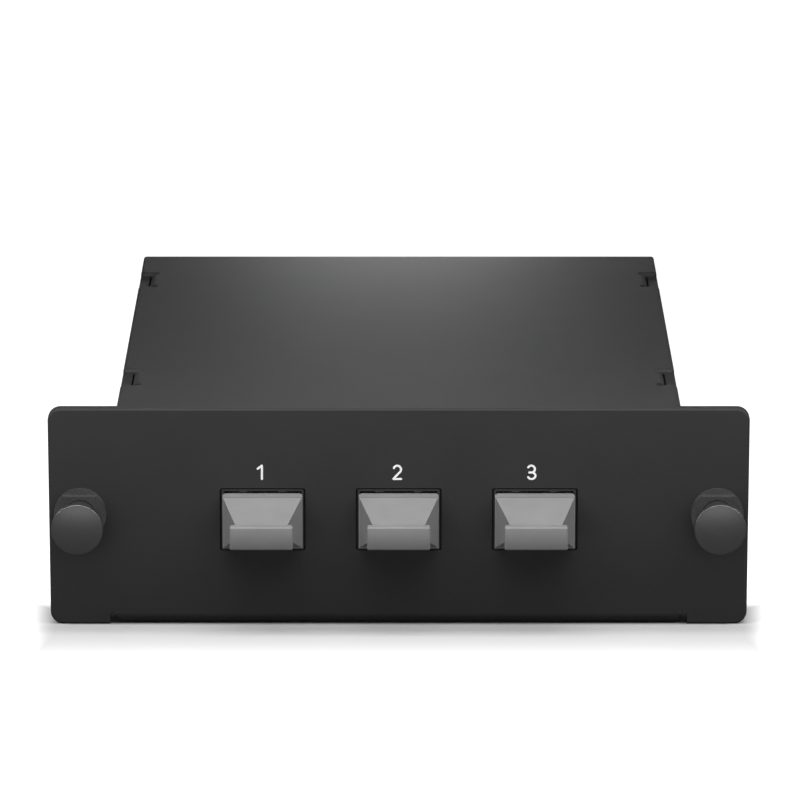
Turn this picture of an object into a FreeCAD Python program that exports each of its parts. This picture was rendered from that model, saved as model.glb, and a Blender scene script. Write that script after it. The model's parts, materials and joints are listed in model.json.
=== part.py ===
import FreeCAD, Part
import math
import os
import re
import Sketcher
from FreeCAD import Placement, Rotation, Vector

# Fibre cassette: a folded steel tray and lid that carry three multi-fibre ports in front and
# two behind, the fibre between them, and a push-pull latch at each end of the front panel.
#
# Frame: millimetres, +X to the right as the front panel is read, +Y to the rear, +Z up.
# The origin is the centre of the tray's underside.
#
# A "wall frame" stands on the outer face of the front or the rear wall with its y running
# inward, so the rear ports are the front ports turned half a turn about Z.

SIZES = {
    # folded sheet
    "panel_width": 109.0,
    "panel_height": 35.0,
    "panel_corner": 2.0,
    "panel_edge_round": 0.4,
    "ear_width": 10.55,
    "body_depth": 101.4,
    "sheet_gauge": 1.6,
    "bend_outside": 1.8,
    "bend_gap": 0.3,
    "relief_width": 1.2,
    "relief_extra": 0.15,
    "relief_corner": 0.4,
    # lid
    "lid_below": 0.5,
    "lid_gauge": 0.8,
    "lid_bend": 1.0,
    "lid_gap": 0.25,
    "lid_flange": 8.0,
    "lid_edge_round": 0.5,
    "notch_front": 20.7,
    "notch_rear": 84.3,
    "notch_length": 9.2,
    "notch_corner": 0.6,
    "slit_width": 1.0,
    "slit_depth": 3.2,
    "tongue_drop": 7.0,
    "tongue_gap": 0.25,
    # ports
    "front_port_pitch": 21.2,
    "rear_port_pitch": 24.0,
    "port_height": 17.1,
    "cutout_side_gap": 0.28,
    "cutout_top_gap": 0.15,
    "cutout_corner": 0.35,
    "adapter_width": 12.8,
    "adapter_height": 9.8,
    "adapter_length": 25.0,
    "adapter_recess": 0.1,
    "adapter_round": 0.3,
    "adapter_side_wall": 0.4,
    "adapter_top_wall": 0.35,
    "flange_width": 17.6,
    "flange_height": 14.0,
    "flange_gauge": 1.6,
    "web_place": 12.0,
    "web_gauge": 2.0,
    "window_width": 7.4,
    "window_height": 3.4,
    "arm_place": 4.3,
    "arm_gauge": 0.8,
    "arm_height": 3.0,
    "arm_length": 5.5,
    "arm_clear": 0.2,
    # dust cap
    "cap_width": 12.45,
    "cap_height": 8.3,
    "cap_proud": 1.5,
    "cap_drop": 0.1,
    "cap_insert": 6.0,
    "cap_face_wall": 2.0,
    "cap_wall": 1.0,
    "cap_side_fit": 0.07,
    "cap_seat_gap": 0.05,
    "cap_round": 0.12,
    "rib_width": 1.2,
    "rib_place": 3.0,
    "rib_start": 1.0,
    "rib_fit": 0.08,
    "neck_width": 7.9,
    "neck_top": 1.55,
    "neck_bottom": 0.5,
    "bar_width": 9.75,
    "bar_height": 3.7,
    "bar_gauge": 1.6,
    "bar_front": 10.5,
    "bar_crown": 0.2,
    "bar_round": 0.3,
    # inner connector
    "plug_fit": 0.1,
    "plug_height": 8.7,
    "plug_seat_gap": 0.4,
    "plug_end": 31.0,
    "plug_round": 0.5,
    "neck_ring_width": 8.6,
    "neck_ring_height": 6.2,
    "neck_ring_length": 2.0,
    "boot_width": 7.8,
    "boot_height": 5.4,
    "boot_length": 6.0,
    "boot_end_width": 4.6,
    "boot_end_height": 3.6,
    "ferrule_width": 6.4,
    "ferrule_height": 2.5,
    "ferrule_length": 8.0,
    "ferrule_face": 10.8,
    "ferrule_fit": 0.03,
    "pin_radius": 0.35,
    "pin_fit": 0.01,
    "pin_spacing": 4.6,
    "pin_proud": 2.0,
    "pin_length": 7.0,
    # brackets and screws
    "bracket_gauge": 1.2,
    "bracket_bend": 1.6,
    "bracket_top": 25.5,
    "bracket_foot": 7.5,
    "bracket_fit": 0.2,
    "front_bracket_width": 66.0,
    "rear_bracket_width": 50.0,
    "front_foot_screw": 10.6,
    "rear_foot_screw": 20.6,
    "foot_screw_inset": 8.0,
    "lid_screw_place": 30.0,
    "lid_screw_drop": 4.6,
    "screw_radius": 1.25,
    "screw_fit": 0.04,
    "screw_clear": 0.15,
    "screw_short": 0.1,
    "head_radius": 2.2,
    "head_height": 1.2,
    "cross_width": 0.5,
    "cross_length": 2.4,
    "cross_depth": 0.7,
    # fibre
    "lead_radius": 0.8,
    "side_straight": 6.0,
    "side_bow": 11.0,
    "side_bow_out": 4.0,
    "side_bow_drop": 4.0,
    "side_fall": 15.8,
    "side_fall_inset": 3.0,
    "side_fall_lift": 3.3,
    "side_reach": 20.8,
    "lead_straight": 7.0,
    "lead_bow": 17.0,
    "lead_bow_drop": 4.5,
    "lead_fall": 26.0,
    "lead_fall_shift": 1.5,
    "lead_fall_lift": 3.0,
    "lead_landing": 8.0,
    "lead_landing_shift": 4.5,
    "lead_landing_lift": 0.4,
    "lead_end_shift": 8.0,
    "coil_radius": 2.4,
    "coil_side_room": 9.5,
    "coil_end_room": 6.0,
    "coil_corner": 24.0,
    "coil_lift": 0.1,
    "clip_length": 5.0,
    "clip_gauge": 1.2,
    "clip_gap": 0.15,
    "clip_foot": 2.0,
    # push-pull latch
    "latch_inset": 4.9,
    "latch_height": 18.1,
    "rim_radius": 4.1,
    "rim_length": 0.5,
    "boss_radius": 4.05,
    "boss_length": 1.2,
    "boss_flat": 3.14,
    "barrel_radius": 3.1,
    "barrel_length": 8.0,
    "barrel_fit": 0.06,
    "barb_rise": 0.2,
    "barb_length": 0.9,
    "bore_radius": 2.1,
    "bore_fit": 0.1,
    "slot_width": 0.8,
    "slot_length": 6.0,
    "knob_radius": 4.03,
    "knob_length": 1.7,
    "knob_crown": 0.4,
    "knob_gap": 6.2,
    "knob_round": 0.25,
    "stem_radius": 2.5,
    "stem_fit": 0.1,
    "stem_seat": 0.3,
    "push_stroke": 5.9,
    "tip_radius": 2.6,
    "tip_length": 1.5,
    "tip_taper": 0.8,
    "tip_gap": 0.3,
}

FRONT = "-body_depth / 2"
REAR = "(body_depth / 2 - lid_gauge - lid_gap)"
BODY_SIDE = "(panel_width / 2 - ear_width)"
RELIEF_HEIGHT = "bend_outside + relief_extra"
BEND_INSIDE = "bend_outside - sheet_gauge"
LID_TOP = "(panel_height - lid_below)"
WALL_TOP = "(%s - lid_gauge)" % LID_TOP
WALL_INNER = "(%s - sheet_gauge)" % BODY_SIDE
LID_SCREW_HEIGHT = "(%s - lid_screw_drop)" % LID_TOP
LATCH_PLACE = "(panel_width / 2 - latch_inset)"
WALL_START = "(-body_depth / 2 + bend_outside + bend_gap)"
WALL_END = "(%s - bend_outside - bend_gap)" % REAR
TONGUE_OUTER = "(%s - tongue_gap)" % WALL_INNER
FLANGE_BACK = "(sheet_gauge + flange_gauge)"
WEB_FRONT = "(web_place - web_gauge / 2)"
WEB_BACK = "(web_place + web_gauge / 2)"
CAVITY_WIDTH = "(adapter_width - 2 * adapter_side_wall)"
CAVITY_HEIGHT = "(adapter_height - 2 * adapter_top_wall)"
CAP_SEAT = "(adapter_recess - cap_seat_gap)"
INSERT_WIDTH = "(%s - 2 * cap_side_fit)" % CAVITY_WIDTH
PLUG_FACE = "(%s + plug_seat_gap)" % WEB_BACK
RING_END = "(plug_end + neck_ring_length)"
BOOT_END = "(%s + boot_length)" % RING_END
BARREL_END = "(sheet_gauge + barrel_length)"
KNOB_FACE = "(rim_length + boss_length + knob_gap + knob_length)"
COIL_HEIGHT = "(sheet_gauge + coil_lift + coil_radius)"
COIL_SIDE = "(%s - coil_side_room)" % WALL_INNER
COIL_END = "(%s - %s - bracket_foot - coil_end_room)" % (REAR, FLANGE_BACK)

NO_TURN = Rotation()
HALF_TURN = Rotation(Vector(0, 0, 1), 180)
QUARTER_TURN = Rotation(Vector(0, 0, 1), 90)
HEAD_TO_REAR = Rotation(Vector(1, 0, 0), -90)

doc = FreeCAD.newDocument("FibreCassette")
sheet = doc.addObject("Spreadsheet::Sheet", "Sizes")
for row, (alias, number) in enumerate(SIZES.items(), start=1):
    sheet.set("A%d" % row, alias)
    sheet.set("B%d" % row, str(number))
    sheet.setAlias("B%d" % row, alias)
doc.recompute()

WORD = re.compile(r"[a-z]+(?:_[a-z]+)+")
HAIR = 0.001  # two places nearer than this are the same place
ARC_SHARE = 0.45  # how much of a tube's shorter run the arc at its end takes
nodes = []


# ---- formulas ---------------------------------------------------------------------------

def formula(text):
    """Name the sheet in front of every size that a formula uses."""
    return WORD.sub(lambda word: "Sizes." + word[0], str(text))


def value(text):
    """Work a formula out to a plain number."""
    return float(sheet.evalExpression(str(text)))


def bind(feature, **formulas):
    for name, text in formulas.items():
        feature.setExpression(name, formula(text))


def put(feature, x="0", y="0", z="0", turn=NO_TURN):
    feature.Placement = Placement(Vector(value(x), value(y), value(z)), turn)
    for axis, text in (("x", x), ("y", y), ("z", z)):
        feature.setExpression(".Placement.Base." + axis, formula(text))


# ---- sketches ---------------------------------------------------------------------------

def sketch_on(body, role, offset="0"):
    """Start a sketch on one of the body's origin planes, moved along that plane's normal."""
    sketch = body.newObject("Sketcher::SketchObject", body.Label + "_sketch")
    plane = next(item for item in body.Origin.OriginFeatures if item.Role == role)
    sketch.AttachmentSupport = [(plane, "")]
    sketch.MapMode = "FlatFace"
    sketch.setExpression(".AttachmentOffset.Base.z", formula(offset))
    return sketch


def across(body, y="0"):
    """Start a sketch in x and z, at a given y. Its plane's normal points along -Y."""
    return sketch_on(body, "XZ_Plane", "-(%s)" % y)


def along(body):
    """Start a sketch in y and z, on the plane x = 0."""
    return sketch_on(body, "YZ_Plane")


def flat(body, z="0"):
    """Start a sketch in x and y, at a given z."""
    return sketch_on(body, "XY_Plane", z)


def hold_point(sketch, edge, end, x, y):
    for kind, text in (("DistanceX", x), ("DistanceY", y)):
        index = sketch.addConstraint(Sketcher.Constraint(kind, -1, 1, edge, end, value(text)))
        sketch.setExpression("Constraints[%d]" % index, formula(text))


def polygon(sketch, points):
    """Close a polygon through points that are pairs of formulas."""
    first = sketch.GeometryCount
    spots = [Vector(value(x), value(y), 0) for x, y in points]
    for start, end in zip(spots, spots[1:] + spots[:1]):
        sketch.addGeometry(Part.LineSegment(start, end), False)
    for index, (x, y) in enumerate(points):
        following = (index + 1) % len(points)
        sketch.addConstraint(Sketcher.Constraint("Coincident", first + index, 2, first + following, 1))
        hold_point(sketch, first + index, 1, x, y)


def crowned(sketch, points, centre):
    """Close a polygon whose last side runs anticlockwise, about a centre, back to its first point."""
    first = sketch.GeometryCount
    spots = [Vector(value(x), value(y), 0) for x, y in points]
    for start, end in zip(spots, spots[1:]):
        sketch.addGeometry(Part.LineSegment(start, end), False)
    last = sketch.GeometryCount - 1
    for index in range(first, last):
        sketch.addConstraint(Sketcher.Constraint("Coincident", index, 2, index + 1, 1))
    for index, (x, y) in enumerate(points[:-1]):
        hold_point(sketch, first + index, 1, x, y)
    hold_point(sketch, last, 2, *points[-1])
    middle = Vector(value(centre[0]), value(centre[1]), 0)
    start, end = [math.atan2(spot.y - middle.y, spot.x - middle.x) for spot in (spots[-1], spots[0])]
    ring = Part.Circle(middle, Vector(0, 0, 1), (spots[0] - middle).Length)
    arc = sketch.addGeometry(Part.ArcOfCircle(ring, start, end if end > start else end + 2 * math.pi), False)
    sketch.addConstraint(Sketcher.Constraint("Coincident", last, 2, arc, 1))
    sketch.addConstraint(Sketcher.Constraint("Coincident", arc, 2, first, 1))
    index = sketch.addConstraint(Sketcher.Constraint("DistanceX", -1, 1, arc, 3, middle.x))
    sketch.setExpression("Constraints[%d]" % index, formula(centre[0]))


def rectangle(sketch, width, height, x="0", y="0"):
    """Draw a rectangle about a centre."""
    left, right = "%s - (%s) / 2" % (x, width), "%s + (%s) / 2" % (x, width)
    low, high = "%s - (%s) / 2" % (y, height), "%s + (%s) / 2" % (y, height)
    polygon(sketch, [(left, low), (right, low), (right, high), (left, high)])


def circle(sketch, radius, x="0", y="0"):
    ring = Part.Circle(Vector(value(x), value(y), 0), Vector(0, 0, 1), value(radius))
    edge = sketch.addGeometry(ring, False)
    hold_point(sketch, edge, 3, x, y)
    index = sketch.addConstraint(Sketcher.Constraint("Radius", edge, value(radius)))
    sketch.setExpression("Constraints[%d]" % index, formula(radius))


# ---- features ---------------------------------------------------------------------------

def new_body(label, x="0", y="0", z="0", turn=NO_TURN):
    body = doc.addObject("PartDesign::Body", label)
    body.Label = label
    put(body, x, y, z, turn)
    nodes.append(body)
    return body


def faces_back(sketch):
    return sketch.AttachmentSupport[0][0].Role == "XZ_Plane"


def pad(sketch, length, way=1):
    """Raise a sketch along +axis (way 1), along -axis (way -1) or evenly both ways (way 0)."""
    body = sketch.getParentGeoFeatureGroup()
    feature = body.newObject("PartDesign::Pad", body.Label + "_pad")
    feature.Profile = sketch
    bind(feature, Length=length)
    feature.Midplane = way == 0
    feature.Reversed = way != 0 and (way > 0) == faces_back(sketch)
    doc.recompute()
    return feature


def pocket(sketch, depth, way=1):
    """Cut a sketch along +axis (way 1) or -axis (way -1)."""
    body = sketch.getParentGeoFeatureGroup()
    before = body.Shape.Volume
    feature = body.newObject("PartDesign::Pocket", body.Label + "_pocket")
    feature.Profile = sketch
    bind(feature, Length=depth)
    feature.Reversed = (way > 0) != faces_back(sketch)
    doc.recompute()
    if not feature.Shape.Volume < before:
        raise RuntimeError(feature.Name + " cuts nothing")
    return feature


def loft(first, second):
    body = first.getParentGeoFeatureGroup()
    feature = body.newObject("PartDesign::AdditiveLoft", body.Label + "_loft")
    feature.Profile = first
    feature.Sections = [second]
    feature.Ruled = True
    doc.recompute()
    return feature


def lies_at(edge, **places):
    """Tell whether an edge lies wholly at the given x, y or z."""
    box = edge.BoundBox
    for axis, text in places.items():
        place = value(text)
        low, high = getattr(box, axis.upper() + "Min"), getattr(box, axis.upper() + "Max")
        if abs(low - place) > HAIR or abs(high - place) > HAIR:
            return False
    return True


def round_off(body, radius, wanted):
    """Round every edge of the body that the test picks."""
    base = body.Tip
    names = ["Edge%d" % number for number, edge in enumerate(base.Shape.Edges, start=1) if wanted(edge)]
    if not names:
        raise RuntimeError(body.Label + " has no edge to round")
    feature = body.newObject("PartDesign::Fillet", body.Label + "_round")
    feature.Base = (base, names)
    bind(feature, Radius=radius)
    doc.recompute()
    if feature.Shape.isNull() or "Invalid" in feature.State:
        raise RuntimeError("%s cannot be rounded by %s" % (body.Label, radius))
    return feature


def round_lines(body, radius, *lines):
    """Round the edges that lie on given lines, each a pair of places such as x and z."""
    round_off(body, radius, lambda edge: any(lies_at(edge, **line) for line in lines))


def group(label, parts):
    feature = doc.addObject("Part::Compound", label)
    feature.Label = label
    feature.Links = parts
    nodes.append(feature)
    return feature


# ---- folded sheet -----------------------------------------------------------------------

def base_tray():
    """The tray: floor and side walls, then the bends up to the front panel and the rear wall."""
    body = new_body("base_tray")
    outer, inner = BODY_SIDE, WALL_INNER
    walls = across(body, WALL_START)
    polygon(walls, [("-" + outer, "0"), (outer, "0"), (outer, WALL_TOP), (inner, WALL_TOP),
                    (inner, "sheet_gauge"), ("-" + inner, "sheet_gauge"),
                    ("-" + inner, WALL_TOP), ("-" + outer, WALL_TOP)])
    pad(walls, "%s - %s" % (WALL_END, WALL_START))
    round_lines(body, "bend_outside", {"x": outer, "z": "0"}, {"x": "-" + outer, "z": "0"})
    round_lines(body, BEND_INSIDE, {"x": inner, "z": "sheet_gauge"}, {"x": "-" + inner, "z": "sheet_gauge"})

    inside_front = "(%s + sheet_gauge)" % FRONT
    leg_top = RELIEF_HEIGHT + " + bend_outside"
    front_bend = along(body)
    polygon(front_bend, [(FRONT, "0"), (WALL_START, "0"), (WALL_START, "sheet_gauge"),
                         (inside_front, "sheet_gauge"), (inside_front, leg_top), (FRONT, leg_top)])
    pad(front_bend, "2 * " + BODY_SIDE, 0)
    inside_rear = "(%s - sheet_gauge)" % REAR
    rear_wall = along(body)
    polygon(rear_wall, [(WALL_END, "0"), (REAR, "0"), (REAR, WALL_TOP), (inside_rear, WALL_TOP),
                        (inside_rear, "sheet_gauge"), (WALL_END, "sheet_gauge")])
    pad(rear_wall, "2 * " + BODY_SIDE, 0)
    round_lines(body, "bend_outside", {"y": FRONT, "z": "0"}, {"y": REAR, "z": "0"})
    round_lines(body, BEND_INSIDE, {"y": inside_front, "z": "sheet_gauge"},
                {"y": inside_rear, "z": "sheet_gauge"})

    side, relief = "panel_width / 2", "(%s + relief_width)" % BODY_SIDE
    panel = across(body, FRONT)
    polygon(panel, [("-" + side, "0"), ("-" + relief, "0"), ("-" + relief, RELIEF_HEIGHT),
                    (relief, RELIEF_HEIGHT), (relief, "0"), (side, "0"),
                    (side, "panel_height"), ("-" + side, "panel_height")])
    pad(panel, "sheet_gauge")
    round_lines(body, "panel_corner", *[{"x": x, "z": z} for x in (side, "-" + side)
                                        for z in ("0", "panel_height")])

    front_holes = across(body, FRONT)
    port_windows(front_holes, front_ports())
    for x in (LATCH_PLACE, "-" + LATCH_PLACE):
        circle(front_holes, "barrel_radius + barrel_fit", x, "latch_height")
    pocket(front_holes, "sheet_gauge")
    rear_holes = across(body, REAR)
    port_windows(rear_holes, rear_ports())
    for x in ("lid_screw_place", "-lid_screw_place"):
        circle(rear_holes, "screw_radius + screw_fit", x, LID_SCREW_HEIGHT)
    pocket(rear_holes, "sheet_gauge", -1)
    floor_holes = flat(body)
    for x, y, _ in foot_screws():
        circle(floor_holes, "screw_radius + screw_fit", x, y)
    pocket(floor_holes, "sheet_gauge")

    round_off(body, "cutout_corner", in_window_corner)
    round_lines(body, "relief_corner", {"x": relief, "z": RELIEF_HEIGHT},
                {"x": "-" + relief, "z": RELIEF_HEIGHT})
    round_off(body, "panel_edge_round", on_panel_rim)
    return body


def front_ports():
    return ["-front_port_pitch", "0", "front_port_pitch"]


def rear_ports():
    return ["-rear_port_pitch / 2", "rear_port_pitch / 2"]


def port_windows(sketch, ports):
    for x in ports:
        rectangle(sketch, "adapter_width + 2 * cutout_side_gap", "adapter_height + 2 * cutout_top_gap",
                  x, "port_height")


def in_window_corner(edge):
    """Tell whether an edge runs through the sheet at a corner of a port window."""
    half_height = "(adapter_height / 2 + cutout_top_gap)"
    box = edge.BoundBox
    if abs(box.YLength - value("sheet_gauge")) > HAIR or len(edge.Vertexes) != 2:
        return False
    return any(lies_at(edge, z="port_height %s %s" % (sign, half_height)) for sign in "+-")


def on_panel_rim(edge):
    """Tell whether an edge belongs to the outer rim of the panel's front face."""
    if not lies_at(edge, y=FRONT):
        return False
    box = edge.BoundBox
    reaches_side = max(abs(box.XMin), abs(box.XMax)) > value("panel_width / 2 - panel_corner") - HAIR
    return reaches_side or lies_at(edge, z="panel_height")


def lid():
    """The lid: a flat plate on the walls, a flange behind, and four tongues inside the walls."""
    body = new_body("lid")
    back, inside_back = "body_depth / 2", "(body_depth / 2 - lid_gauge)"
    front = "%s + sheet_gauge + lid_gap" % FRONT
    profile = along(body)
    flange_low = LID_TOP + " - lid_flange"
    polygon(profile, [(front, WALL_TOP), (inside_back, WALL_TOP), (inside_back, flange_low),
                      (back, flange_low), (back, LID_TOP), (front, LID_TOP)])
    pad(profile, "2 * " + BODY_SIDE, 0)
    round_lines(body, "lid_bend", {"y": back, "z": LID_TOP})
    round_lines(body, "lid_bend - lid_gauge", {"y": inside_back, "z": WALL_TOP})

    for side in ("", "-"):
        for place in ("notch_front", "notch_rear"):
            lid_tongue(body, side, "(%s + %s)" % (FRONT, place))
    corners = [{"x": side + BODY_SIDE, "y": "%s + %s %s notch_length / 2" % (FRONT, place, end)}
               for side in ("", "-") for place in ("notch_front", "notch_rear") for end in "+-"]
    round_lines(body, "notch_corner", *corners)
    edges = [{"x": side + BODY_SIDE, "z": LID_TOP} for side in ("", "-")]
    round_lines(body, "lid_edge_round", *edges)

    holes = across(body, back)
    for x in ("lid_screw_place", "-lid_screw_place"):
        circle(holes, "screw_radius + screw_clear", x, LID_SCREW_HEIGHT)
    pocket(holes, "lid_gauge", -1)
    return body


def lid_tongue(body, side, middle):
    """Cut a notch with a slit at each end, and fold the tongue between them down."""
    edge = side + BODY_SIDE
    deep = "%s(%s - slit_depth)" % (side, BODY_SIDE)
    tongue_outer = side + TONGUE_OUTER
    tongue_inner = "%s(%s - lid_gauge)" % (side, TONGUE_OUTER)
    start, end = middle + " - notch_length / 2", middle + " + notch_length / 2"
    tongue_start, tongue_end = start + " + slit_width", end + " - slit_width"
    notch = flat(body, LID_TOP)
    polygon(notch, [(edge, start), (deep, start), (deep, tongue_start), (tongue_outer, tongue_start),
                    (tongue_outer, tongue_end), (deep, tongue_end), (deep, end), (edge, end)])
    pocket(notch, "lid_gauge", -1)
    tongue = flat(body, LID_TOP)
    polygon(tongue, [(tongue_inner, tongue_start), (tongue_outer, tongue_start),
                     (tongue_outer, tongue_end), (tongue_inner, tongue_end)])
    pad(tongue, "tongue_drop", -1)

    def here(bend):
        reach = value("notch_length / 2")
        return lambda line: lies_at(line, **bend) and abs(line.CenterOfMass.y - value(middle)) < reach
    round_off(body, "lid_bend", here({"x": tongue_outer, "z": LID_TOP}))
    round_off(body, "lid_bend - lid_gauge", here({"x": tongue_inner, "z": WALL_TOP}))


# ---- ports ------------------------------------------------------------------------------

def adapter(label, x, wall, turn):
    """A port adapter: its flange bears on the inside of the wall, its mouth shows outside."""
    body = new_body(label, x, wall, "port_height", turn)
    barrel = across(body, "adapter_recess")
    rectangle(barrel, "adapter_width", "adapter_height")
    pad(barrel, "adapter_length - adapter_recess")
    corners = [{"x": sx + "adapter_width / 2", "z": sz + "adapter_height / 2"}
               for sx in ("", "-") for sz in ("", "-")]
    round_lines(body, "adapter_round", *corners)
    flange = across(body, "sheet_gauge")
    rectangle(flange, "flange_width", "flange_height")
    pad(flange, "flange_gauge")

    mouth = across(body, "adapter_recess")
    rectangle(mouth, CAVITY_WIDTH, CAVITY_HEIGHT)
    pocket(mouth, "%s - adapter_recess" % WEB_FRONT)
    socket = across(body, "adapter_length")
    rectangle(socket, CAVITY_WIDTH, CAVITY_HEIGHT)
    pocket(socket, "adapter_length - %s" % WEB_BACK, -1)
    window = across(body, WEB_FRONT)
    rectangle(window, "window_width", "window_height")
    pocket(window, "web_gauge")
    for face, way in ((WEB_FRONT, -1), (WEB_BACK, 1)):
        arms = across(body, face)
        for place in ("arm_place", "-arm_place"):
            rectangle(arms, "arm_gauge", "arm_height", place)
        pad(arms, "arm_length", way)
    return body


def dust_cap(label, x, wall, turn):
    """A dust cap: a hollow insert, a shoulder on the mouth's rim, a tapered neck and a grip bar."""
    body = new_body(label, x, wall, "port_height", turn)
    shoulder = across(body, "-cap_proud")
    rectangle(shoulder, "cap_width", "cap_height", "0", "-cap_drop")
    pad(shoulder, "cap_proud + %s" % CAP_SEAT)
    round_off(body, "cap_round", lambda edge: edge.BoundBox.YLength > value("cap_proud"))
    insert = across(body, CAP_SEAT)
    rectangle(insert, INSERT_WIDTH, "cap_height")
    pad(insert, "cap_insert - %s" % CAP_SEAT)
    hollow = across(body, "cap_insert")
    rectangle(hollow, "%s - 2 * cap_wall" % INSERT_WIDTH, "cap_height - 2 * cap_wall")
    pocket(hollow, "cap_insert + cap_proud - cap_face_wall", -1)
    ribs = across(body, "rib_start")
    rib_height = "(%s / 2 - rib_fit - cap_height / 2)" % CAVITY_HEIGHT
    rib_middle = "(cap_height / 2 + %s / 2)" % rib_height
    for place in ("rib_place", "-rib_place"):
        for side in ("", "-"):
            rectangle(ribs, "rib_width", rib_height, place, side + rib_middle)
    pad(ribs, "cap_insert - rib_start")

    neck_end = "-(bar_front - bar_gauge)"
    neck_base = across(body, "-cap_proud")
    rectangle(neck_base, "cap_width - 2 * cap_round", "cap_height - 2 * cap_round", "0", "-cap_drop")
    neck_tip = across(body, neck_end)
    rectangle(neck_tip, "neck_width", "neck_top + neck_bottom", "0", "(neck_top - neck_bottom) / 2")
    loft(neck_base, neck_tip)
    low, high = "(-cap_drop - bar_height / 2)", "(bar_height / 2 - cap_drop)"
    crown_radius = "(bar_height ^ 2 / 8 / bar_crown + bar_crown / 2)"
    crown_edge = "(bar_crown - bar_front)"
    bar = along(body)
    crowned(bar, [(crown_edge, low), (neck_end, low), (neck_end, high), (crown_edge, high)],
            (crown_radius + " - bar_front", "-cap_drop"))
    pad(bar, "bar_width", 0)

    def bar_corner(edge):
        at_side = lies_at(edge, x="bar_width / 2") or lies_at(edge, x="-bar_width / 2")
        return at_side and edge.BoundBox.YLength > value("bar_gauge / 2")
    round_off(body, "bar_round", bar_corner)
    round_off(body, "bar_round", lambda edge: edge.BoundBox.YMax < value(crown_edge) + HAIR)
    return body


def inner_plug(label, x, wall, turn):
    """The connector inside a port: housing, with a bore for the ferrule and room for the arms."""
    body = new_body(label, x, wall, "port_height", turn)
    width = "(%s - 2 * plug_fit)" % CAVITY_WIDTH
    housing = across(body, PLUG_FACE)
    rectangle(housing, width, "plug_height")
    pad(housing, "plug_end - %s" % PLUG_FACE)
    corners = [{"x": "%s%s / 2" % (sx, width), "z": sz + "plug_height / 2"}
               for sx in ("", "-") for sz in ("", "-")]
    round_lines(body, "plug_round", *corners)
    ring = across(body, "plug_end")
    rectangle(ring, "neck_ring_width", "neck_ring_height")
    pad(ring, "neck_ring_length")
    bore = across(body, PLUG_FACE)
    rectangle(bore, "ferrule_width + 2 * ferrule_fit", "ferrule_height + 2 * ferrule_fit")
    pocket(bore, "ferrule_face + ferrule_length - %s" % PLUG_FACE)
    room = across(body, PLUG_FACE)
    for place in ("arm_place", "-arm_place"):
        rectangle(room, "arm_gauge + 2 * arm_clear", "arm_height + 2 * arm_clear", place)
    pocket(room, "%s + arm_length + arm_clear - %s" % (WEB_BACK, PLUG_FACE))
    return body


def plug_boot(label, x, wall, turn):
    body = new_body(label, x, wall, "port_height", turn)
    base = across(body, RING_END)
    rectangle(base, "boot_width", "boot_height")
    tip = across(body, BOOT_END)
    rectangle(tip, "boot_end_width", "boot_end_height")
    loft(base, tip)
    return body


def ferrule(label, x, wall, turn):
    """The ferrule, with its two guide pin holes."""
    body = new_body(label, x, wall, "port_height", turn)
    block = across(body, "ferrule_face")
    rectangle(block, "ferrule_width", "ferrule_height")
    pad(block, "ferrule_length")
    holes = across(body, "ferrule_face")
    for place in ("pin_spacing / 2", "-pin_spacing / 2"):
        circle(holes, "pin_radius + pin_fit", place)
    pocket(holes, "pin_length - pin_proud")
    return body


def guide_pins(label, x, wall, turn):
    pins = []
    for side in ("", "-"):
        pin = doc.addObject("Part::Cylinder", label + "_pin")
        bind(pin, Radius="pin_radius", Height="pin_length")
        put(pin, side + "pin_spacing / 2", "ferrule_face - pin_proud", "0", HEAD_TO_REAR)
        pins.append(pin)
    put(group(label, pins), x, wall, "port_height", turn)


def bracket(label, ports, width, screws, wall, turn):
    """A folded bracket behind one row of ports, which holds the adapter flanges to the wall."""
    body = new_body(label, "0", wall, "0", turn)
    back = "(%s + bracket_gauge)" % FLANGE_BACK
    foot_end = "%s + bracket_foot" % FLANGE_BACK
    foot_top = "(sheet_gauge + bracket_gauge)"
    profile = along(body)
    polygon(profile, [(FLANGE_BACK, "sheet_gauge"), (foot_end, "sheet_gauge"), (foot_end, foot_top),
                      (back, foot_top), (back, "bracket_top"), (FLANGE_BACK, "bracket_top")])
    pad(profile, width, 0)
    round_lines(body, "bracket_bend", {"y": FLANGE_BACK, "z": "sheet_gauge"})
    round_lines(body, "bracket_bend - bracket_gauge", {"y": back, "z": foot_top})
    windows = across(body, FLANGE_BACK)
    for x in ports:
        rectangle(windows, "adapter_width + 2 * bracket_fit", "adapter_height + 2 * bracket_fit",
                  x, "port_height")
    pocket(windows, "bracket_gauge")
    holes = flat(body, "sheet_gauge")
    for x in screws:
        circle(holes, "screw_radius + screw_clear", x, "foot_screw_inset")
    pocket(holes, "bracket_gauge")
    return body


# ---- screws -----------------------------------------------------------------------------

def foot_screws():
    """Where the four bracket screws go into the floor: x, y and the bracket that each holds."""
    front = "(%s + foot_screw_inset)" % FRONT
    rear = "(%s - foot_screw_inset)" % REAR
    return [("front_foot_screw", front, "front"), ("-front_foot_screw", front, "front"),
            ("rear_foot_screw", rear, "rear"), ("-rear_foot_screw", rear, "rear")]


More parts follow.
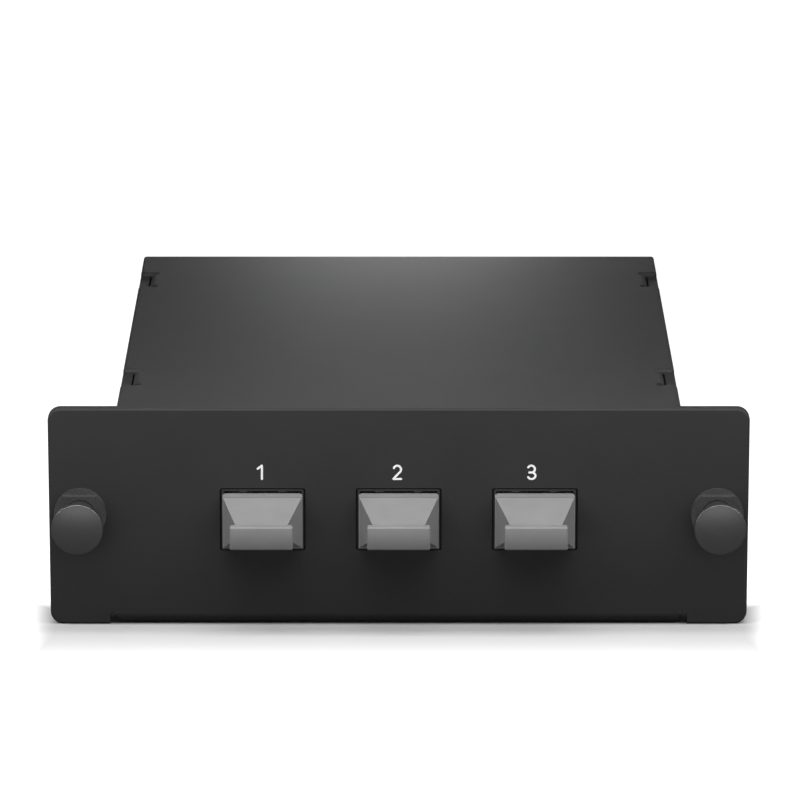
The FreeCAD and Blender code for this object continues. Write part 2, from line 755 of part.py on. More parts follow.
def cross_screw(label, grip, x, y, z, turn=NO_TURN):
    """A pan-head screw with a cross recess. Its head stands on z = 0 before it is placed."""
    head = doc.addObject("Part::Cylinder", label + "_head")
    bind(head, Radius="head_radius", Height="head_height")
    shank = doc.addObject("Part::Cylinder", label + "_shank")
    bind(shank, Radius="screw_radius", Height=grip)
    put(shank, "0", "0", "-(%s)" % grip)
    solid = doc.addObject("Part::Fuse", label + "_solid")
    solid.Base, solid.Tool = head, shank
    slots = []
    for length, width in (("cross_length", "cross_width"), ("cross_width", "cross_length")):
        slot = doc.addObject("Part::Box", label + "_slot")
        bind(slot, Length=length, Width=width, Height="cross_depth")
        put(slot, "-%s / 2" % length, "-%s / 2" % width, "head_height - cross_depth")
        slots.append(slot)
    recess = doc.addObject("Part::Fuse", label + "_recess")
    recess.Base, recess.Tool = slots
    screw = doc.addObject("Part::Cut", label)
    screw.Base, screw.Tool = solid, recess
    put(screw, x, y, z, turn)
    return screw


def all_screws():
    foot_top = "sheet_gauge + bracket_gauge"
    grip = "bracket_gauge + sheet_gauge - screw_short"
    for row in ("front", "rear"):
        label = row + "_bracket_screws"
        group(label, [cross_screw("%s_%d" % (label, number), grip, x, y, foot_top)
                      for number, (x, y, held) in enumerate(foot_screws()) if held == row])
    lid_grip = "lid_gauge + lid_gap + sheet_gauge"
    group("lid_screws", [cross_screw("lid_screws_%d" % number, lid_grip, side + "lid_screw_place",
                                     "body_depth / 2", LID_SCREW_HEIGHT, HEAD_TO_REAR)
                         for number, side in enumerate(("", "-"))])


# ---- fibre ------------------------------------------------------------------------------

def tube(label, points, radius):
    """A tube along straight runs that tangent arcs join, its points given as formulas."""
    spots = [Vector(*[value(place) for place in point]) for point in points]
    edges, start = [], spots[0]
    for before, corner, after in zip(spots, spots[1:], spots[2:]):
        arrive, leave = corner - before, after - corner
        turn = arrive.getAngle(leave)
        shorter = min(arrive.Length, leave.Length)
        setback = ARC_SHARE * shorter
        bend = setback / math.tan(turn / 2)
        arc_start = corner - arrive.normalize() * setback
        arc_end = corner + leave.normalize() * setback
        to_centre = (arc_end - corner) + (arc_start - corner)
        centre = corner + to_centre.normalize() * (bend / math.cos(turn / 2))
        arc_middle = centre + (corner - centre).normalize() * bend
        edges.append(Part.LineSegment(start, arc_start).toShape())
        edges.append(Part.Arc(arc_start, arc_middle, arc_end).toShape())
        start = arc_end
    edges.append(Part.LineSegment(start, spots[-1]).toShape())
    spine = Part.Wire(edges)
    ring = Part.Wire(Part.makeCircle(radius, spots[0], spots[1] - spots[0]))
    feature = doc.addObject("Part::Feature", label)
    feature.Label = label
    feature.Shape = spine.makePipeShell([ring], True, False)
    ideal = math.pi * radius ** 2 * spine.Length
    if abs(feature.Shape.Volume / ideal - 1) > 0.01:
        raise RuntimeError(label + " is not as full as its section times its length")
    nodes.append(feature)


def side_route(side, boot):
    """A lead's way from an outer port: out of its boot, then down and outward onto the coil."""
    top, low = "port_height", COIL_HEIGHT
    return [(side + "front_port_pitch", boot, top),
            (side + "front_port_pitch", boot + " + side_straight", top),
            (side + "(front_port_pitch + side_bow_out)", boot + " + side_bow", top + " - side_bow_drop"),
            (side + "(%s - side_fall_inset)" % COIL_SIDE, boot + " + side_fall", low + " + side_fall_lift"),
            (side + COIL_SIDE, boot + " + side_reach", low)]


def inward_route(side, start, shift, boot, way, end):
    """A lead's way across the tray: out of its boot, down in a bow, and along the floor to the coil."""
    top, low = "port_height", COIL_HEIGHT

    def drift(size):
        return "%s(%s %s %s)" % (side, start, shift, size)
    return [(drift("0"), boot, top),
            (drift("0"), "%s %s lead_straight" % (boot, way), top),
            (drift("0"), "%s %s lead_bow" % (boot, way), top + " - lead_bow_drop"),
            (drift("lead_fall_shift"), "%s %s lead_fall" % (boot, way), low + " + lead_fall_lift"),
            (drift("lead_landing_shift"), "%s(%s - lead_landing)" % (end, COIL_END),
             low + " + lead_landing_lift"),
            (drift("lead_end_shift"), end + COIL_END, low)]


def fibre_leads():
    """The lead of each inner connector, from its boot down to the storage coil on the floor."""
    front_boot = "(%s + %s)" % (FRONT, BOOT_END)
    rear_boot = "(%s - %s)" % (REAR, BOOT_END)
    radius = value("lead_radius")
    for number, side in ((1, "-"), (3, "")):
        tube("front_lead_%d" % number, side_route(side, front_boot), radius)
    tube("front_lead_2", inward_route("", "0", "+", front_boot, "+", ""), radius)
    for number, side in ((1, "-"), (2, "")):
        tube("rear_lead_%d" % number,
             inward_route(side, "rear_port_pitch / 2", "-", rear_boot, "-", "-"), radius)


def storage_coil():
    """The turns of spare fibre, as one ring with round corners that lies on the floor."""
    corner, radius, height = value("coil_corner"), value("coil_radius"), value(COIL_HEIGHT)
    side, end = value(COIL_SIDE), value(COIL_END)
    edges, start = [], Vector(side, corner - end, height)
    for x, y in ((1, 1), (-1, 1), (-1, -1), (1, -1)):
        centre = Vector(x * (side - corner), y * (end - corner), height)
        to_side, to_end = Vector(x * corner, 0, 0), Vector(0, y * corner, 0)
        arrive, leave = (to_side, to_end) if x == y else (to_end, to_side)
        middle = centre + (to_side + to_end).normalize() * corner
        edges.append(Part.LineSegment(start, centre + arrive).toShape())
        edges.append(Part.Arc(centre + arrive, middle, centre + leave).toShape())
        start = centre + leave
    ring = Part.Wire(Part.makeCircle(radius, edges[0].firstVertex().Point, Vector(0, 1, 0)))
    feature = doc.addObject("Part::Feature", "storage_coil")
    feature.Label = "storage_coil"
    feature.Shape = Part.Wire(edges).makePipeShell([ring], True, False)
    nodes.append(feature)


def coil_clip(label, x, y, turn):
    """A saddle over the coil, with a foot on the floor at each side."""
    body = new_body(label, x, y, "sheet_gauge", turn)
    inside = "(coil_radius + clip_gap)"
    outside = "(%s + clip_gauge)" % inside
    foot = "(%s + clip_foot)" % outside
    ceiling = "(coil_lift + 2 * coil_radius + clip_gap)"
    roof = "(%s + clip_gauge)" % ceiling
    saddle = across(body, "clip_length / 2")
    polygon(saddle, [("-" + foot, "0"), ("-" + inside, "0"), ("-" + inside, ceiling), (inside, ceiling),
                     (inside, "0"), (foot, "0"), (foot, "clip_gauge"), (outside, "clip_gauge"),
                     (outside, roof), ("-" + outside, roof), ("-" + outside, "clip_gauge"),
                     ("-" + foot, "clip_gauge")])
    pad(saddle, "clip_length", -1)
    round_lines(body, "clip_gauge", {"x": outside, "z": roof}, {"x": "-" + outside, "z": roof})
    return body


# ---- push-pull latch --------------------------------------------------------------------

def latch_grommet(label, x):
    """The latch's grommet: rim and flatted boss in front, split barrel through the panel."""
    body = new_body(label, x, FRONT, "latch_height")
    rim = across(body, "0")
    circle(rim, "rim_radius")
    pad(rim, "rim_length", -1)
    boss = across(body, "-rim_length")
    circle(boss, "boss_radius")
    pad(boss, "boss_length", -1)
    flats = across(body, "-rim_length - boss_length")
    waste = "(boss_radius - boss_flat + rim_length)"
    for side in ("", "-"):
        rectangle(flats, "3 * boss_radius", waste, "0", "%s(boss_flat + %s / 2)" % (side, waste))
    pocket(flats, "boss_length")
    barrel = across(body, "0")
    circle(barrel, "barrel_radius")
    pad(barrel, BARREL_END)
    barb = across(body, "sheet_gauge + barrel_fit")
    circle(barb, "barrel_radius + barb_rise")
    pad(barb, "barb_length")
    bore = across(body, "-rim_length - boss_length")
    circle(bore, "bore_radius")
    pocket(bore, "rim_length + boss_length + %s" % BARREL_END)
    stem_bore = across(body, "-rim_length - boss_length")
    circle(stem_bore, "stem_radius + stem_fit")
    pocket(stem_bore, "push_stroke + 2 * stem_seat")
    near = "(barrel_radius * sqrt(2) - slot_width / sqrt(8))"
    far = "(barrel_radius * sqrt(2) + slot_width / sqrt(8))"
    for side in ("", "-"):
        other = "" if side else "-"
        slot = across(body, BARREL_END)
        polygon(slot, [(near, side + far), (far, side + near), ("-" + near, other + far),
                       ("-" + far, other + near)])
        pocket(slot, "slot_length", -1)
    return body


def latch_plunger(label, x):
    """The latch's plunger: a crowned knob on a stem, the shaft, and the snap tip behind the barrel."""
    body = new_body(label, x, FRONT, "latch_height")
    shaft = "(bore_radius - bore_fit)"
    knob_back = "-(%s - knob_length)" % KNOB_FACE
    stem_end = "(stem_seat - rim_length - boss_length)"
    tip_start = "(%s + tip_gap)" % BARREL_END
    tip_end = "(%s + tip_length)" % tip_start
    crown_radius = "(knob_radius ^ 2 / 2 / knob_crown + knob_crown / 2)"
    crown_edge = "(knob_crown - %s)" % KNOB_FACE
    section = along(body)
    crowned(section, [("-" + KNOB_FACE, "0"), (tip_end, "0"), (tip_end, "tip_radius - tip_taper"),
                      (tip_end + " - tip_taper", "tip_radius"), (tip_start, "tip_radius"),
                      (tip_start, shaft), (stem_end, shaft), (stem_end, "stem_radius"),
                      (knob_back, "stem_radius"), (knob_back, "knob_radius"),
                      (crown_edge, "knob_radius")], (crown_radius + " - " + KNOB_FACE, "0"))
    turned = body.newObject("PartDesign::Revolution", label + "_turned")
    turned.Profile = section
    turned.ReferenceAxis = (section, ["H_Axis"])
    turned.Angle = 360
    doc.recompute()
    round_off(body, "knob_round", lambda edge: lies_at(edge, y=crown_edge) or (
        lies_at(edge, y=knob_back) and edge.BoundBox.ZMax > value("stem_radius") + HAIR))
    return body


# ---- the whole cassette -----------------------------------------------------------------

def port_row(row, ports, wall, turn):
    """Everything that one row of ports holds."""
    pieces = (("adapter", adapter), ("dust_cap", dust_cap), ("inner_plug", inner_plug),
              ("plug_boot", plug_boot), ("ferrule", ferrule), ("guide_pins", guide_pins))
    for number, x in enumerate(ports, start=1):
        for name, make in pieces:
            make("%s_%s_%d" % (row, name, number), x, wall, turn)


def build():
    base_tray()
    lid()
    port_row("front", front_ports(), FRONT, NO_TURN)
    port_row("rear", rear_ports(), REAR, HALF_TURN)
    bracket("front_bracket", front_ports(), "front_bracket_width",
            ["front_foot_screw", "-front_foot_screw"], FRONT, NO_TURN)
    bracket("rear_bracket", rear_ports(), "rear_bracket_width",
            ["rear_foot_screw", "-rear_foot_screw"], REAR, HALF_TURN)
    all_screws()
    fibre_leads()
    storage_coil()
    for name, x, y, turn in (("right", COIL_SIDE, "0", NO_TURN), ("rear", "0", COIL_END, QUARTER_TURN),
                             ("left", "-" + COIL_SIDE, "0", NO_TURN),
                             ("front", "0", "-" + COIL_END, QUARTER_TURN)):
        coil_clip("coil_clip_" + name, x, y, turn)
    for name, side in (("left", "-"), ("right", "")):
        latch_grommet("latch_grommet_" + name, side + LATCH_PLACE)
        latch_plunger("latch_plunger_" + name, side + LATCH_PLACE)


def write():
    """Check every object and every shape, then write one file for each sub-part."""
    doc.recompute()
    for item in doc.Objects:
        if "Invalid" in item.State or "Error" in item.State:
            raise RuntimeError("%s failed: %s" % (item.Name, item.State))
    for node in nodes:
        if node.Shape.isNull() or not node.Shape.isValid() or not node.Shape.Solids:
            raise RuntimeError(node.Label + " has no valid solid")
    os.makedirs("parts", exist_ok=True)
    for node in nodes:
        node.Shape.exportStep(os.path.join("parts", node.Label + ".step"))
    print("%d nodes written" % len(nodes))


build()
write()
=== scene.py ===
import json
import math

import bpy
import numpy as np
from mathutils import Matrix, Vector


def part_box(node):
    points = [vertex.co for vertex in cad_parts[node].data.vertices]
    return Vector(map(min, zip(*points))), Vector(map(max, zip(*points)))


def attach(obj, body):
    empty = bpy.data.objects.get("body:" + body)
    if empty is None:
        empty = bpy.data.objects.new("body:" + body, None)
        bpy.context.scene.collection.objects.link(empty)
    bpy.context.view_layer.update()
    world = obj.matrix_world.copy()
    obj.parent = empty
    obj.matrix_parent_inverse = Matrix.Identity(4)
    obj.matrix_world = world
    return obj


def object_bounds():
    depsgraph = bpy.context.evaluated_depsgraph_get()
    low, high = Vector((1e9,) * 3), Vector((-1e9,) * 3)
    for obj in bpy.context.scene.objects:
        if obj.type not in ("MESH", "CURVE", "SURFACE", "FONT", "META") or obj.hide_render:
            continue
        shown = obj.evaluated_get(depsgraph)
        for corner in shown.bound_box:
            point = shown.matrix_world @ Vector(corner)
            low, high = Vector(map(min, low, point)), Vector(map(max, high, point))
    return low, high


# Fibre cassette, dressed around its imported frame: a powder coated steel case, grey dust caps in
# black port adapters, black nylon push-pull latches, and the printed port numbers.
# Everything is in metres. +X is to the right as the panel is read, +Y to the rear, +Z up.

MM = 0.001

# The printed numbers. Sizes are in mm.
PEN = 0.33  # width of a stroke
INK = 0.02  # how thick the ink stands
INK_STEP = 0.002  # how much higher each further stroke lies, so that no two share a face
FIGURE_FOOT = 23.66  # height of the lowest stroke's middle above the floor
ROUND_END = np.radians([8, 25, 45, 65])

# The floor and what surrounds it. A pair gives where a rise of painted white starts and ends, in mm: painted
# light on the floor, set around the object so that its shadow ends there.
FLOOR_GREY = "#747474"  # what every ray meets
FLOOR_LIFT = "#acacac"  # painted light: a brightening that the camera alone sees on top of that, on the open floor; left out behind the panel, its lack is painted shade there
FLOOR_HALF = 3.0  # half the floor's side, in metres
WHITE_BESIDE = (-1.0, 6.0)  # out from the panel's end
CLOSE_BESIDE = (0.55, 8.55)  # out from the lid's side, behind the panel
BEHIND_PANEL = (6.7, 12.7)  # to the rear from the panel's face
WHITE_BEHIND = (0.3, 11.3)  # to the rear from the lid's back
WHITE_AHEAD = (-5.3, -34.3)  # to the rear from the panel's face, so ahead of it
OPEN_AHEAD = (0.7, -0.8)  # the same, for the lift
OPEN_BESIDE = (-4.5, -2.0)  # out from the panel's end, for the lift
SKY_LEVEL = 0.07
CEILING = 0.12
BACKDROP_TOP = (0.02, 0.14)  # sines of the heights at which the backdrop starts and ends its fade

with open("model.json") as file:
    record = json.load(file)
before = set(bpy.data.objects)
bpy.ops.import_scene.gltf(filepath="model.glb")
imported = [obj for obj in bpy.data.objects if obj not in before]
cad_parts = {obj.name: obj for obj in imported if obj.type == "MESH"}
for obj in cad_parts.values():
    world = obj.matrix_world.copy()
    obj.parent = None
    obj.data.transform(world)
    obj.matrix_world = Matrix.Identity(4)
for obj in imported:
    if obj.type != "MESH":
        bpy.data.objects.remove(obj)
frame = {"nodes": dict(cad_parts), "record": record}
CAD_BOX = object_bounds()
NODES = frame["nodes"]


# ---- nodes and colours ------------------------------------------------------------------

def linear(sheen):
    """Turn an sRGB hex colour into the linear colour that a socket takes."""
    parts = [int(sheen[place:place + 2], 16) / 255 for place in (1, 3, 5)]
    return [p / 12.92 if p <= 0.04045 else ((p + 0.055) / 1.055) ** 2.4 for p in parts] + [1.0]


def add(tree, kind, inputs=(), **settings):
    """Add one node, set its properties, and fill or link its named input sockets."""
    made = tree.nodes.new("ShaderNode" + kind)
    for name, setting in settings.items():
        setattr(made, name, setting)
    for name, given in dict(inputs).items():
        socket = next((s for s in made.inputs if s.name == name and s.enabled), None) or made.inputs[name]
        if isinstance(given, bpy.types.NodeSocket):
            tree.links.new(given, socket)
        else:
            socket.default_value = given
    return made


def per_mm(size):
    """Pattern scale at which one cell of a noise is this many millimetres across."""
    return 1 / (size * MM)


def new_material(name):
    """Start an empty material and return it with its tree and the object's own coordinates."""
    material = bpy.data.materials.new(name)
    material.use_nodes = True
    tree = material.node_tree
    tree.nodes.clear()
    place = add(tree, "TexCoord").outputs["Object"]
    return material, tree, place


def close(tree, shader):
    """Let a shader be the material's surface."""
    add(tree, "OutputMaterial", {"Surface": shader.outputs["BSDF"]})


def grain(tree, place, size, detail=2.0):
    """An even noise whose cells are this many millimetres across."""
    return add(tree, "TexNoise", {"Vector": place, "Scale": per_mm(size), "Detail": detail}).outputs["Fac"]


def shift(tree, noise, low, high):
    """Spread the middle of a noise over the span from low to high."""
    return add(tree, "MapRange", {"Value": noise, "From Min": 0.3, "From Max": 0.7,
                                  "To Min": low, "To Max": high}).outputs["Result"]


def blend(tree, noise, first, second):
    """Run from one hex colour to another along a noise."""
    mixed = add(tree, "Mix", {"Factor": shift(tree, noise, 0.0, 1.0)}, data_type="RGBA")
    mixed.inputs["A"].default_value = linear(first)
    mixed.inputs["B"].default_value = linear(second)
    return mixed.outputs["Result"]


def relief(tree, height, depth, strength=1.0, under=None):
    """Raise a surface by a height of at most depth millimetres."""
    inputs = {"Height": height, "Distance": depth * MM, "Strength": strength}
    if under:
        inputs["Normal"] = under
    return add(tree, "Bump", inputs).outputs["Normal"]


def knob_normal(tree, place):
    """The smoothed normal, but within 1 mm of a knob's axis each face's own.

    There the crown's faces meet in a point, and smoothing leaves a bright crescent. The material works
    on |x|, so that one axis serves both knobs: normal + near * (face's normal - normal).
    """
    low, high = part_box("latch_plunger_right")
    axis = ((low.x + high.x) / 2, 0.0, (low.z + high.z) / 2)
    sides = add(tree, "VectorMath", {0: place}, operation="ABSOLUTE").outputs["Vector"]
    flat = add(tree, "VectorMath", {0: sides, 1: (1.0, 0.0, 1.0)}, operation="MULTIPLY").outputs["Vector"]
    reach = add(tree, "VectorMath", {0: flat, 1: axis}, operation="DISTANCE").outputs["Value"]
    near = add(tree, "Math", {0: reach, 1: MM}, operation="LESS_THAN").outputs["Value"]
    faces = add(tree, "NewGeometry")
    apart = add(tree, "VectorMath", {0: faces.outputs["True Normal"], 1: faces.outputs["Normal"]},
                operation="SUBTRACT").outputs["Vector"]
    return add(tree, "VectorMath", {0: apart, 1: near, 2: faces.outputs["Normal"]},
               operation="MULTIPLY_ADD").outputs["Vector"]


# ---- finishes ---------------------------------------------------------------------------

def powder_coated_steel():
    """Polyester powder coat, sprayed and baked on folded steel: black, nearly matt, faint orange peel."""
    material, tree, place = new_material("powder_coated_steel")
    peel = grain(tree, place, 1.4, 1.0)
    fine = grain(tree, place, 0.25)
    shader = add(tree, "BsdfPrincipled", {
        "Base Color": blend(tree, grain(tree, place, 9.0), "#1c1c1c", "#1f1f1f"),
        "Roughness": shift(tree, fine, 0.70, 0.78),
        "IOR": 1.5,
        "Normal": relief(tree, fine, 0.004, 0.5, relief(tree, peel, 0.012, 0.5))})
    close(tree, shader)
    return material


def moulded(name, first, second, rough_low, rough_high, texture, depth, ior, specular=0.5, shaped=None):
    """A moulded plastic: an even colour with a slight drift, and the mould's fine eroded texture."""
    material, tree, place = new_material(name)
    cells = grain(tree, place, texture)
    below = shaped(tree, place) if shaped else None
    shader = add(tree, "BsdfPrincipled", {
        "Base Color": blend(tree, grain(tree, place, 4.0), first, second),
        "Roughness": shift(tree, cells, rough_low, rough_high),
        "IOR": ior,
        "Specular IOR Level": specular,
        "Normal": relief(tree, cells, depth, 0.6, below)})
    close(tree, shader)
    return material


def plated_steel(name, first, second, rough_low, rough_high, size):
    """Bare or plated steel, mottled by its crystals."""
    material, tree, place = new_material(name)
    cells = grain(tree, place, size)
    shader = add(tree, "BsdfPrincipled", {
        "Base Color": blend(tree, grain(tree, place, 3.0), first, second),
        "Roughness": shift(tree, cells, rough_low, rough_high),
        "Metallic": 1.0,
        "Normal": relief(tree, cells, 0.003, 0.4)})
    close(tree, shader)
    return material


def screen_printed_ink():
    """Screen printed epoxy ink: off-white, matt, a little thin where the coat below is rough."""
    material, tree, place = new_material("screen_printed_ink")
    speckle = grain(tree, place, 0.3)
    shader = add(tree, "BsdfPrincipled", {
        "Base Color": blend(tree, speckle, "#e4e4e4", "#f2f2f2"),
        "Roughness": shift(tree, speckle, 0.5, 0.65),
        "IOR": 1.5,
        "Normal": relief(tree, speckle, 0.003, 0.5)})
    close(tree, shader)
    return material


def finishes():
    """One material for each slot of the record."""
    coat = powder_coated_steel()
    return {
        "tray_paint": coat,
        "lid_paint": coat,
        # polypropylene, moulded in a fine eroded mould: matt mid grey
        "cap_plastic": moulded("moulded_grey_polypropylene", "#787878", "#7d7d7d",
                               0.48, 0.58, 0.2, 0.004, 1.49),
        # PBT, moulded: near black, satin
        "adapter_plastic": moulded("moulded_black_pbt", "#1a1a1a", "#1e1e1e",
                                   0.36, 0.46, 0.15, 0.003, 1.55),
        # PBT, moulded: aqua, the usual colour of the connectors of this fibre
        "plug_plastic": moulded("moulded_aqua_pbt", "#2f9fa3", "#33a6aa", 0.36, 0.46, 0.15, 0.003, 1.55),
        # soft elastomer, moulded: black, dull
        "boot_rubber": moulded("moulded_black_elastomer", "#1b1b1b", "#202020",
                               0.62, 0.74, 0.2, 0.004, 1.52),
        # glass filled PPS, lapped: dark grey brown, smooth
        "ferrule_plastic": moulded("lapped_glass_filled_pps", "#3a3632", "#45403b",
                                   0.30, 0.42, 0.1, 0.002, 1.6),
        # PVC, extruded: aqua, satin
        "fibre_jacket": moulded("extruded_aqua_pvc", "#2aa0a8", "#30a8b0", 0.38, 0.48, 0.3, 0.003, 1.53),
        # nylon, moulded and uncoloured: milky white
        "clip_plastic": moulded("moulded_natural_nylon", "#dcdad0", "#e4e2d8",
                                0.40, 0.50, 0.25, 0.003, 1.53),
        # nylon, moulded in a polished mould: half gloss. The nylon is black; its colour is lifted to dark
        # grey all over as a painted reflection, standing for highlights that the lamps don't give
        "grommet_plastic": moulded("black_nylon_painted_grey_sheen", "#3a3a3a", "#3e3e3e",
                                   0.26, 0.32, 0.3, 0.002, 1.53, 0.8),
        # the same nylon, blacker, with a crowned face that shades from top to bottom
        "knob_plastic": moulded("polished_black_nylon", "#262626", "#2a2a2a",
                                0.34, 0.40, 0.3, 0.002, 1.53, 1.0, knob_normal),
        # tool steel, ground: bright, with fine smooth reflections
        "pin_steel": plated_steel("ground_steel", "#b8b8b8", "#c4c4c4", 0.12, 0.2, 0.1),
        # steel, zinc plated: pale blue grey, softly shining
        "screw_steel": plated_steel("zinc_plated_steel", "#a9adb3", "#b9bdc2", 0.24, 0.36, 0.2),
        # steel sheet, zinc plated: the same, duller and more mottled
        "bracket_zinc": plated_steel("zinc_plated_sheet", "#9fa4ab", "#b3b8bd", 0.30, 0.44, 0.6),
    }


def dress(materials):
    """Give each node of the frame the finish of its slot."""
    for row in frame["record"]["subparts"]:
        mesh = NODES[row["node"]].data
        mesh.materials.clear()
        mesh.materials.append(materials[row["material_slot"]])


# ---- printed numbers --------------------------------------------------------------------

def arc(middle_x, middle_z, wide, tall, start, stop):
    """Points on an ellipse: middle + (wide cos a, tall sin a), a from start to stop in degrees."""
    turn = np.radians(np.linspace(start, stop, 33))
    return np.stack([middle_x + wide * np.cos(turn), middle_z + tall * np.sin(turn)], axis=1)


def figures():
    """The pen's strokes for each figure, in mm from the port's middle and the figure's foot."""
    one = [[(-0.07, 2.15), (-0.07, 0.0)], [(-0.72, 1.66), (-0.07, 2.15)]]
    two = [np.concatenate([arc(-0.21, 1.55, 0.57, 0.60, 160, -38), [(-0.82, 0.03)]]),
           [(-0.82, 0.0), (0.36, 0.0)]]
    three = [np.concatenate([arc(-0.58, 1.60, 0.55, 0.55, 150, -90), [(-0.90, 1.05)]]),
             arc(-0.53, 0.525, 0.60, 0.525, 90, -155)]
    return {1: one, 2: two, 3: three}


def stroke(path, thickness):
    """A pen stroke: a flat bar of the pen's width carried along a path, with round ends.

    Ring i has four corners at path(i) plus or minus half(i) times the path's normal, at the front
    and at the back of the ink. At each end the path runs on by r cos a while half falls as r sin a.
    """
    path = np.array(path, dtype=float)
    along = np.gradient(path, axis=0)
    along /= np.linalg.norm(along, axis=1, keepdims=True)
    radius = PEN / 2
    reach, half = radius * np.cos(ROUND_END), radius * np.sin(ROUND_END)
    middles = np.concatenate([path[:1] - reach[:, None] * along[:1], path,
                              path[-1:] + reach[::-1, None] * along[-1:]])
    ways = np.concatenate([along[:1].repeat(len(reach), 0), along, along[-1:].repeat(len(reach), 0)])
    halves = np.concatenate([half, np.full(len(path), radius), half[::-1]])
    normals = np.stack([-ways[:, 1], ways[:, 0]], axis=1)
    left, right = middles + halves[:, None] * normals, middles - halves[:, None] * normals
    depth = np.array([-thickness, -thickness, 0.0, 0.0])
    rings = np.stack([left, right, right, left], axis=1)
    points = np.stack([rings[:, :, 0], np.broadcast_to(depth, rings.shape[:2]), rings[:, :, 1]], axis=2)
    count = len(middles)
    corner = np.arange(count * 4).reshape(count, 4)
    near, far = corner[:-1], corner[1:]
    sides = np.stack([near, np.roll(near, -1, 1), np.roll(far, -1, 1), far], axis=2).reshape(-1, 4)
    faces = np.concatenate([sides, corner[:1, ::-1], corner[-1:]])
    return points.reshape(-1, 3), faces


def printed_number(number, strokes, panel_face, ink):
    """A port's number on the panel above it, one closed bar of ink for each stroke of the pen."""
    low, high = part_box("front_adapter_%d" % number)
    place = np.array([(low.x + high.x) / 2, panel_face, FIGURE_FOOT * MM])
    points, faces, start = [], [], 0
    for index, path in enumerate(strokes):
        spots, sides = stroke(path, INK + index * INK_STEP)
        points.append(spots * MM + place)
        faces.append(sides + start)
        start += len(spots)
    mesh = bpy.data.meshes.new("port_number_%d" % number)
    mesh.from_pydata(np.concatenate(points).tolist(), [], np.concatenate(faces).tolist())
    mesh.materials.append(ink)
    piece = bpy.data.objects.new("port_number_%d" % number, mesh)
    bpy.context.scene.collection.objects.link(piece)
    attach(piece, "cassette")


# ---- stage, light and camera ------------------------------------------------------------

def rise(tree, distance, origin, span):
    """From 0 to 1, smoothly, over a span of millimetres from a place on the floor."""
    start, end = (origin + step * MM for step in span)
    return add(tree, "MapRange", {"Value": distance, "From Min": start, "From Max": end},
               interpolation_type="SMOOTHSTEP").outputs["Result"]


def floor_finish(panel_face):
    """A grey sweep with painted light for the camera. At set distances from the object, painted white comes
    in, and there the object's shadow is cut short.

    white = max(beside, ahead, behind), where beside starts closer behind the panel than at its ends.
    Camera rays alone see the painted white and the lift. The lift is a painted brightening, left out under
    and beside the body behind the panel, which is painted shade there. Other rays meet the grey floor.
    """
    material, tree, place = new_material("grey_sweep_painted_white")
    camera_sees = add(tree, "LightPath").outputs["Is Camera Ray"]
    split = add(tree, "SeparateXYZ", {"Vector": place})
    across = add(tree, "Math", {0: split.outputs["X"]}, operation="ABSOLUTE").outputs["Value"]
    along = split.outputs["Y"]
    panel_end = CAD_BOX[1][0]
    lid_side, lid_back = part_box("lid")[1].x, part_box("lid")[1].y

    close_by = add(tree, "Math", {0: rise(tree, across, lid_side, CLOSE_BESIDE),
                                  1: rise(tree, along, panel_face, BEHIND_PANEL)}, operation="MULTIPLY")
    beside = add(tree, "Math", {0: close_by.outputs["Value"],
                                1: rise(tree, across, panel_end, WHITE_BESIDE)}, operation="MAXIMUM")
    ends = add(tree, "Math", {0: rise(tree, along, lid_back, WHITE_BEHIND),
                              1: rise(tree, along, panel_face, WHITE_AHEAD)}, operation="MAXIMUM")
    white = add(tree, "Math", {0: beside.outputs["Value"], 1: ends.outputs["Value"]}, operation="MAXIMUM")
    # Painted light: white emission that camera rays alone see, rising at set distances around the object.
    strength = add(tree, "Math", {0: white.outputs["Value"], 1: camera_sees}, operation="MULTIPLY")
    # The lift is painted light ahead of the panel and past its ends. Behind the panel, under and beside the
    # body, it is left out, which leaves painted shade seen through the relief notches.
    opened = add(tree, "Math", {0: rise(tree, along, panel_face, OPEN_AHEAD),
                                1: rise(tree, across, panel_end, OPEN_BESIDE)}, operation="MAXIMUM")
    lifted = add(tree, "Math", {0: opened.outputs["Value"], 1: camera_sees}, operation="MULTIPLY")

    glow = add(tree, "Emission", {"Color": linear("#ffffff"), "Strength": strength.outputs["Value"]})
    matt = add(tree, "BsdfDiffuse", {"Color": linear(FLOOR_GREY)})
    dark = add(tree, "BsdfDiffuse", {"Color": linear("#000000")})
    lift = add(tree, "BsdfDiffuse", {"Color": linear(FLOOR_LIFT)})
    seen = add(tree, "MixShader", {0: lifted.outputs["Value"], 1: dark.outputs["BSDF"],
                                   2: lift.outputs["BSDF"]})
    painted_white_on_grey = add(tree, "AddShader", {0: glow.outputs["Emission"], 1: matt.outputs["BSDF"]})
    total = add(tree, "AddShader", {0: painted_white_on_grey.outputs["Shader"], 1: seen.outputs["Shader"]})
    add(tree, "OutputMaterial", {"Surface": total.outputs["Shader"]})
    return material


def floor(panel_face):
    """A level square under the object."""
    corners = [(x * FLOOR_HALF, y * FLOOR_HALF, 0) for x, y in ((-1, -1), (1, -1), (1, 1), (-1, 1))]
    mesh = bpy.data.meshes.new("floor")
    mesh.from_pydata(corners, [], [(0, 1, 2, 3)])
    mesh.materials.append(floor_finish(panel_face))
    piece = bpy.data.objects.new("floor", mesh)
    bpy.context.scene.collection.objects.link(piece)


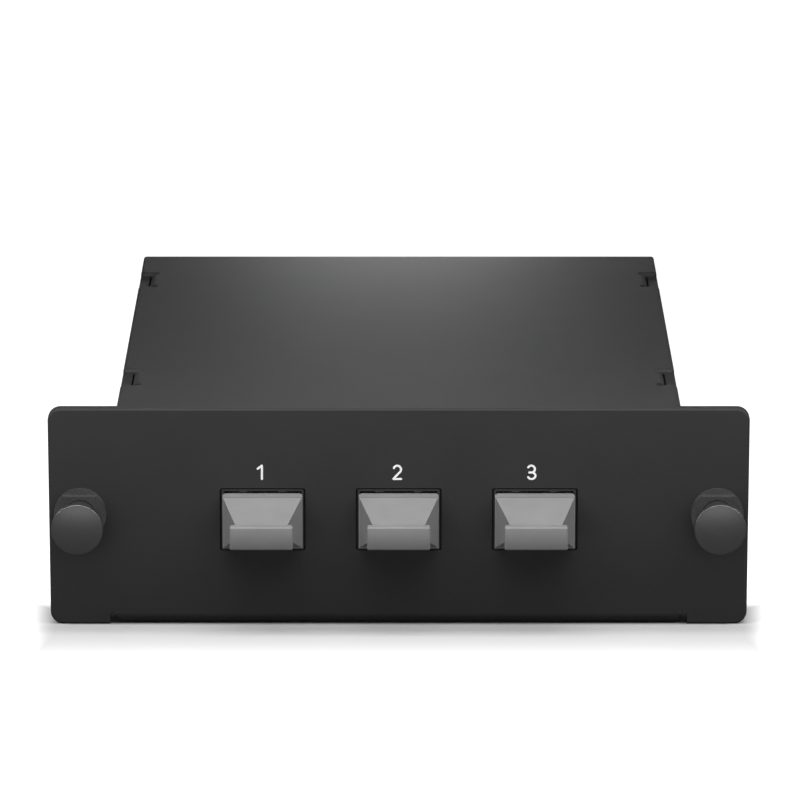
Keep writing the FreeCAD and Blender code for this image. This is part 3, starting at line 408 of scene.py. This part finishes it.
def sky():
    """White to the camera. Reflections see a white backdrop that fades to grey above its top."""
    world = bpy.data.worlds.new("studio")
    bpy.context.scene.world = world
    world.use_nodes = True
    tree = world.node_tree
    tree.nodes.clear()
    path = add(tree, "LightPath")
    way = add(tree, "SeparateXYZ", {"Vector": add(tree, "TexCoord").outputs["Generated"]})
    backdrop = add(tree, "MapRange", {"Value": way.outputs["Z"], "From Min": BACKDROP_TOP[0],
                                      "From Max": BACKDROP_TOP[1], "To Min": 1.0, "To Max": CEILING})
    mirrored = add(tree, "Math", {0: path.outputs["Is Glossy Ray"],
                                  1: path.outputs["Is Transmission Ray"]}, operation="MAXIMUM")
    low = add(tree, "Mix", {"Factor": mirrored.outputs["Value"], "A": SKY_LEVEL,
                            "B": backdrop.outputs["Result"]}, data_type="FLOAT")
    level = add(tree, "Mix", {"Factor": path.outputs["Is Camera Ray"], "A": low.outputs["Result"], "B": 1.0},
                data_type="FLOAT")
    back = add(tree, "Background", {"Color": linear("#ffffff"), "Strength": level.outputs["Result"]})
    add(tree, "OutputWorld", {"Surface": back.outputs["Background"]})


def soft_box(name, place, aim, width, height, power):
    """A rectangular lamp that faces a point."""
    lamp = bpy.data.lights.new(name, "AREA")
    lamp.shape = "RECTANGLE"
    lamp.size = width
    lamp.size_y = height
    lamp.energy = power
    box = bpy.data.objects.new(name, lamp)
    box.location = place
    box.rotation_euler = (Vector(aim) - Vector(place)).to_track_quat("-Z", "Y").to_euler()
    box.visible_camera = False
    bpy.context.scene.collection.objects.link(box)


def lamps(panel_face):
    """A dim ceiling, a strip over the panel, a low window ahead, and a glow close behind the lid."""
    soft_box("overhead_box", (0.0, -0.02, 0.60), (0.0, 0.0, 0.02), 0.70, 0.50, 0.5)
    soft_box("strip_light", (0.0, -0.09, 0.10), (0.0, panel_face, 0.03), 0.50, 0.02, 0.42)
    soft_box("front_window", (0.0, -0.60, 0.07), (0.0, 0.0, 0.03), 0.60, 0.08, 0.55)
    soft_box("rear_glow", (0.0, 0.135, 0.057), (0.0, 0.0, 0.0345), 0.045, 0.012, 0.043)


def camera(panel_face):
    """A long lens, 834.5 mm ahead of the panel, 265 mm up and looking 15.3 degrees down."""
    lens = bpy.data.cameras.new("camera")
    lens.lens = 251.3
    lens.sensor_width = 36.0
    lens.clip_start = 0.05
    lens.clip_end = 20.0
    eye = bpy.data.objects.new("camera", lens)
    eye.location = (0.0002, panel_face - 0.8345, 0.265)
    eye.rotation_euler = (math.radians(90 - 15.32), 0.0, 0.0)
    bpy.context.scene.collection.objects.link(eye)
    bpy.context.scene.camera = eye


dress(finishes())
panel_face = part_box("base_tray")[0].y
ink = screen_printed_ink()
for number, strokes in figures().items():
    printed_number(number, strokes, panel_face, ink)

floor(panel_face)
sky()
lamps(panel_face)
camera(panel_face)
bpy.context.scene.view_settings.view_transform = "Standard"
